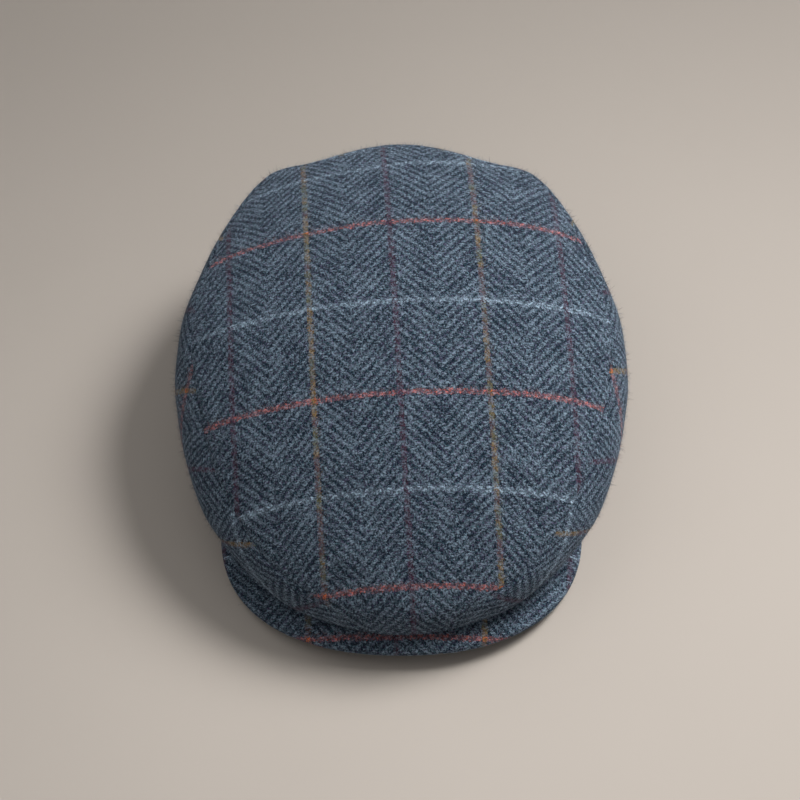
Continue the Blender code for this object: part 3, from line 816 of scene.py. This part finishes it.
def makePeak():
    share = np.linspace(-1.0, 1.0, peakPiece["columns"] + 1)
    headAngle = np.arctan2(tipY - headY, tipX)
    outline = peakOutline(share * (math.pi / 2 + tipAngle) - math.pi / 2)
    inside = rimPoint(share * (math.pi / 2 + headAngle) - math.pi / 2)
    width = np.linalg.norm(outline - inside, axis=-1)
    half = 0.5 * np.minimum(peakThickness(outline[:, 1]), peakPiece["tipShare"] * width)
    half[0] = half[-1] = 0.0
    inward = (inside - outline) / np.maximum(width, 0.01 * mm)[:, None]
    rings = np.linspace(0.0, 1.0, peakPiece["rows"] + 1)
    turns = np.linspace(0.0, math.pi / 2, peakPiece["edgeRows"] + 1)[1:]
    edge = outline + inward * half[:, None]
    plan = [inside + (edge - inside) * ring for ring in rings]
    plan += [edge - inward * (half * math.sin(turn))[:, None] for turn in turns]
    plan = np.array(plan)
    top = peakTop(plan[..., 0], plan[..., 1])
    bottom = peakBottom(plan[..., 0], plan[..., 1])
    for row, turn in enumerate(turns):
        sunk = half * (1 - math.cos(turn))
        top[len(rings) + row] -= sunk
        bottom[len(rings) + row] += sunk
    top[-1] = bottom[-1] = 0.5 * (top[-1] + bottom[-1])
    upper = withHeight(plan, top)
    lower = withHeight(plan, bottom)

    # Cloth over the top face runs straight back from the front, and on round the edge
    extra = lengthDown(upper) - lengthDown(plan)
    start = np.array([peakCloth["plumAt"], peakCloth["coralAt"]]) * mm
    clothUp = plan - extra[..., None] * inward - start
    clothDown = plan - start + np.array([0.5 * checkAcross, 0.0])
    wall = np.stack([upper[0], lower[0]])
    wallCloth = np.stack([clothUp[0], clothUp[0]])
    piece = weldedMesh("peakCover", [(upper, clothUp), (lower, clothDown), (wall, wallCloth)], tweedPeak)
    return piece, (upper, clothUp)


topPiece, topSkin = makeTop()
print("top panel ready", len(topPiece.data.polygons))
sideLeft, leftSkin = makeSide("sidePanelLeft", -1.0)
sideRight, rightSkin = makeSide("sidePanelRight", 1.0)
print("side panels ready", len(sideLeft.data.polygons))
peakCover, peakSkin = makePeak()
print("peak ready", len(peakCover.data.polygons))


# Loose wool hairs on the cloth: short, tapered, bent over, few enough to see the weave through
nap = {
    "perSquareMetre": 0.75e6,
    "length": 2.4 * mm,
    "lengths": (0.4, 1.4),  # shortest and longest, against that length
    "width": 0.06 * mm,  # real hairs are thinner, and are drawn coarser here
    "tip": 0.3,  # width of the tip, against that width
    "arch": 0.4 * mm,
    "bend": 2.4,  # a hair is this stretch of a sine curve, in radians
    "lift": 24.0,  # degrees that most hairs lean off the cloth at most
    "stand": 50.0,  # degrees more for the few that stand up
    "strayPower": 5.0,  # a higher power leaves fewer of those
    "strayLength": 0.35,  # how much longer they are
    "straySeed": 5,
    "paleShare": 0.55,
    "lowest": 5 * mm,  # no roots lower than this
    "seed": 11,
}
napInputs = {
    "Density": nap["perSquareMetre"],
    "Length": nap["length"],
    "Width": nap["width"],
    "Arch": nap["arch"],
    "Lift": nap["lift"],
    "Stand": nap["stand"],
    "Pale share": nap["paleShare"],
    "Lowest": nap["lowest"],
}
woolHairs = {
    "pale": "#8797AA",
    "dark": "#1B2938",
    "coral": "#A07672",
    "mustard": "#7E6B4E",
    "plum": "#503448",
}
hairFace = {"Roughness": 0.8, "Specular IOR Level": 0.3}

# Dyed wool hair: matt, one flat colour each
hairMaterials = []
for name, colour in woolHairs.items():
    constants = {"Base Color": linearColour(colour), **hairFace}
    hairMaterials.append(startMaterial("woolHair" + name.capitalize(), constants)[0])


def makeNapTree():
    tree = bpy.data.node_groups.new("woolNap", "GeometryNodeTree")
    tree.interface.new_socket("Geometry", in_out="OUTPUT", socket_type="NodeSocketGeometry")
    tree.interface.new_socket("Geometry", in_out="INPUT", socket_type="NodeSocketGeometry")
    for name in napInputs:
        tree.interface.new_socket(name, in_out="INPUT", socket_type="NodeSocketFloat")
    tree.interface.new_socket("Seed", in_out="INPUT", socket_type="NodeSocketInt")
    given = addNode(tree, "NodeGroupInput").outputs
    random = "FunctionNodeRandomValue"
    attribute = "GeometryNodeInputNamedAttribute"
    float1 = {"data_type": "FLOAT"}
    float3 = {"data_type": "FLOAT_VECTOR"}
    radians = {"operation": "RADIANS"}
    position = addNode(tree, "GeometryNodeInputPosition").outputs[0]
    place = addNode(tree, split, {}, {0: position}).outputs

    # One hair: a ribbon of two faces from root to tip, arched and narrowing
    grid = addNode(tree, "GeometryNodeMeshGrid", {}, {0: 1.0, 1: 1.0, 2: 3, 3: 2}).outputs[0]
    share = addNode(tree, number, add, {0: place[0], 1: 0.5}).outputs[0]
    reach = addNode(tree, number, multiply, {0: share, 1: given["Length"]}).outputs[0]
    taper = addNode(tree, remap, {}, {0: share, 3: 1.0, 4: nap["tip"]}).outputs[0]
    wide = addNode(tree, number, multiply, {0: place[1], 1: given["Width"]}).outputs[0]
    wide = addNode(tree, number, multiply, {0: wide, 1: taper}).outputs[0]
    rise = addNode(tree, number, multiply, {0: share, 1: nap["bend"]}).outputs[0]
    rise = addNode(tree, number, {"operation": "SINE"}, {0: rise}).outputs[0]
    rise = addNode(tree, number, multiply, {0: rise, 1: given["Arch"]}).outputs[0]
    bent = addNode(tree, join, {}, {0: reach, 1: wide, 2: rise}).outputs[0]
    hair = addNode(tree, "GeometryNodeSetPosition", {}, {"Geometry": grid, "Position": bent}).outputs[0]

    # Roots scattered on the face, none near the rim
    high = addNode(tree, number, above, {0: place[2], 1: given["Lowest"]}).outputs[0]
    face = {"Mesh": given["Geometry"], "Selection": high}
    face.update({name: given[name] for name in ("Density", "Seed")})
    roots = addNode(tree, "GeometryNodeDistributePointsOnFaces", {}, face)

    # A hair's dye, from its root's place on the flat cloth; a line's own hairs root one yarn beside it
    cloth = addNode(tree, attribute, float3, {"Name": "cloth"}).outputs[0]
    flat = addNode(tree, split, {}, {0: cloth}).outputs
    lines = []
    for side, apart, count in ((0, "endSpacing", "endsPerCheck"), (1, "pickSpacing", "picksPerCheck")):
        yarn = {0: flat[side], 1: tweed[apart]}
        yarn = addNode(tree, number, {"operation": "DIVIDE"}, yarn).outputs[0]
        yarn = addNode(tree, number, {"operation": "FLOOR"}, {0: yarn}).outputs[0]
        lines += lineYarns(tree, yarn, tweed[count])
    lines = dict(zip(("plum", "mustard", "coral", "pale"), lines))
    chance = addNode(tree, random, float1, {2: 0.0, 3: 1.0, "Seed": given["Seed"]}).outputs[1]
    kind = addNode(tree, number, above, {0: chance, 1: given["Pale share"]}).outputs[0]
    dyes = list(woolHairs)
    for name in ("pale", "coral", "mustard", "plum"):
        dye = float(dyes.index(name))
        kind = addNode(tree, mix, {}, {0: lines[name], 2: kind, 3: dye}).outputs[0]
    points = {"Geometry": roots.outputs[0], "Name": "kind", "Value": kind}
    points = addNode(tree, "GeometryNodeStoreNamedAttribute", {**float1, "domain": "POINT"}, points)

    # Each hair turned any way on the cloth, leaning a little, long or short; a few stray and stand up
    most = addNode(tree, number, radians, {0: given["Lift"]}).outputs[0]
    least = addNode(tree, number, multiply, {0: most, 1: -1.0}).outputs[0]
    low = addNode(tree, join, {}, {0: least, 1: least, 2: 0.0}).outputs[0]
    high = addNode(tree, join, {}, {0: most, 1: 0.0, 2: 2 * math.pi}).outputs[0]
    spin = addNode(tree, random, float3, {0: low, 1: high, "Seed": given["Seed"]}).outputs[0]
    stray = addNode(tree, random, float1, {2: 0.0, 3: 1.0, "Seed": nap["straySeed"]}).outputs[1]
    stray = addNode(tree, number, {"operation": "POWER"}, {0: stray, 1: nap["strayPower"]}).outputs[0]
    stand = addNode(tree, number, radians, {0: given["Stand"]}).outputs[0]
    stand = addNode(tree, number, multiply, {0: stand, 1: stray}).outputs[0]
    stand = addNode(tree, join, {}, {1: stand}).outputs[0]
    spin = addNode(tree, vector, {"operation": "SUBTRACT"}, {0: spin, 1: stand}).outputs[0]
    spin = addNode(tree, "FunctionNodeEulerToRotation", {}, {0: spin}).outputs[0]
    turned = {0: roots.outputs["Rotation"], 1: spin}
    turned = addNode(tree, "FunctionNodeRotateRotation", {"rotation_space": "LOCAL"}, turned).outputs[0]
    shortest, longest = nap["lengths"]
    size = addNode(tree, random, float1, {2: shortest, 3: longest, "Seed": given["Seed"]}).outputs[1]
    size = addNode(tree, number, multiplyAdd, {0: stray, 1: nap["strayLength"], 2: size}).outputs[0]
    thick = addNode(tree, number, add, {0: stray, 1: 1.0}).outputs[0]
    size = addNode(tree, join, {}, {0: size, 1: thick, 2: size}).outputs[0]
    hairs = {"Points": points.outputs[0], "Instance": hair, "Rotation": turned, "Scale": size}
    hairs = addNode(tree, "GeometryNodeInstanceOnPoints", {}, hairs).outputs[0]
    hairs = addNode(tree, "GeometryNodeRealizeInstances", {}, {0: hairs}).outputs[0]
    kind = addNode(tree, attribute, float1, {"Name": "kind"}).outputs[0]
    for index, material in enumerate(hairMaterials):
        same = {0: kind, 1: float(index), 2: 0.4}
        same = addNode(tree, number, {"operation": "COMPARE"}, same).outputs[0]
        hairs = {"Geometry": hairs, "Selection": same, "Material": material}
        hairs = addNode(tree, "GeometryNodeSetMaterial", {}, hairs).outputs[0]
    addNode(tree, "NodeGroupOutput", {}, {0: hairs})
    return tree


napTree = makeNapTree()


def makeNap(name, skin, seed):
    host = weldedMesh("skin", [skin], hairMaterials[0])
    skinMesh = host.data
    middle = Vector((0.0, 0.0, 0.5 * crown["height"]))
    if sum(face.normal.dot(face.center - middle) for face in skinMesh.polygons) < 0:
        skinMesh.flip_normals()
    modifier = host.modifiers.new("nap", "NODES")
    modifier.node_group = napTree
    values = {**napInputs, "Seed": seed}
    for item in napTree.interface.items_tree:
        if item.name in values:
            modifier[item.identifier] = values[item.name]
    bpy.context.view_layer.update()
    whole = bpy.context.evaluated_depsgraph_get()
    mesh = bpy.data.meshes.new_from_object(host.evaluated_get(whole))
    mesh.name = name
    bpy.data.objects.remove(host)
    bpy.data.meshes.remove(skinMesh)
    return addObject(name, mesh)


topNap = makeNap("topNap", topSkin, nap["seed"])
leftNap = makeNap("sideNapLeft", leftSkin, nap["seed"] + 1)
rightNap = makeNap("sideNapRight", rightSkin, nap["seed"] + 2)
peakNap = makeNap("peakNap", peakSkin, nap["seed"] + 3)
print("nap ready", [len(piece.data.polygons) for piece in (topNap, leftNap, rightNap, peakNap)])


# Floor: a smooth painted tabletop, warm grey and matt, barely mottled
tabletop = {"half": 4.0, "dark": "#B9B0A7", "light": "#BEB5AC", "mottleScale": 6.0}
tabletopFace = {"Roughness": 0.85, "Specular IOR Level": 0.2}


def makeFloor():
    half = tabletop["half"]
    mesh = bpy.data.meshes.new("tabletop")
    corners = [(-half, -half, 0), (half, -half, 0), (half, half, 0), (-half, half, 0)]
    mesh.from_pydata(corners, [], [(0, 1, 2, 3)])
    material, tree, shader = startMaterial("paintedTabletop", tabletopFace)
    place = addNode(tree, "ShaderNodeTexCoord").outputs["Object"]
    mottle = {"Vector": place, "Scale": tabletop["mottleScale"], "Detail": 3.0}
    mottle = addNode(tree, noise, {}, mottle).outputs[0]
    paint = {0: mottle, 6: linearColour(tabletop["dark"]), 7: linearColour(tabletop["light"])}
    paint = addNode(tree, mix, rgb, paint).outputs[2]
    tree.links.new(paint, shader.inputs["Base Color"])
    mesh.materials.append(material)
    floor = addObject("tabletop", mesh)


makeFloor()

# Light: a soft box with a grid on it at the back right, a wide weak one at the back left, a pale room
lights = {
    "softBox": {
        "from": 33,  # degrees round from the right towards the back
        "elevation": 46,
        "distance": 1.5,
        "width": 0.80,
        "spread": 45,
        "power": 2.68,
        "turnedTo": (0.10, -0.20, 0.0),
    },
    "wideBox": {
        "from": 145,
        "elevation": 48,
        "distance": 1.6,
        "width": 2.2,
        "spread": 180,
        "power": 5.2,
        "turnedTo": (0.0, 0.0, 0.0),
    },
}
roomLight = {"colour": "#F3F3F3", "strength": 0.265}


def aim(thing, target):
    direction = target - np.array(thing.location)
    pitch = math.atan2(-direction[2], math.hypot(direction[0], direction[1]))
    turn = math.atan2(-direction[0], direction[1])
    thing.rotation_euler = (math.pi / 2 - pitch, 0.0, turn)


for name, light in lights.items():
    lamp = bpy.data.lights.new(name, "AREA")
    lamp.shape = "DISK"
    lamp.size = light["width"]
    lamp.energy = light["power"]
    lamp.spread = math.radians(light["spread"])
    lampObject = addObject(name, lamp)
    around = math.radians(light["from"])
    lift = math.radians(light["elevation"])
    flat = math.cos(lift)
    towards = np.array([math.cos(around) * flat, math.sin(around) * flat, math.sin(lift)])
    lampObject.location = towards * light["distance"]
    aim(lampObject, np.array(light["turnedTo"]))

world = bpy.data.worlds.new("room")
world.use_nodes = True
background = world.node_tree.nodes["Background"]
background.inputs[0].default_value = linearColour(roomLight["colour"])
background.inputs[1].default_value = roomLight["strength"]
scene.world = world
scene.view_settings.view_transform = "Standard"

# Camera: in front of the cap and well above it
view = {"elevation": 57.0, "distance": 1.15, "lens": 110.8, "aim": (-0.7 * mm, -20.1 * mm, 58 * mm)}
camera = bpy.data.cameras.new("camera")
camera.lens = view["lens"]
camera.sensor_width = 36.0
cameraObject = addObject("camera", camera)
lift = math.radians(view["elevation"])
target = np.array(view["aim"])
cameraObject.location = target + view["distance"] * np.array([0.0, -math.cos(lift), math.sin(lift)])
aim(cameraObject, target)
scene.camera = cameraObject
print("room ready")

# Cloth and hairs of each CAD node, its material slot, and its flat size and area in metres
pieces = {
    "crown_top": (topPiece, topNap, "tweed_top", (0.245, 0.275), 0.0424),
    "side_left": (sideLeft, leftNap, "tweed_side", (0.36, 0.085), 0.0205),
    "side_right": (sideRight, rightNap, "tweed_side", (0.36, 0.085), 0.0205),
    "peak": (peakCover, peakNap, "tweed_peak", None, None),
}
for node, (piece, hairs, slotName, flat, area) in pieces.items():
    for part in (piece, hairs):
        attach(part, "root")
    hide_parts(node)
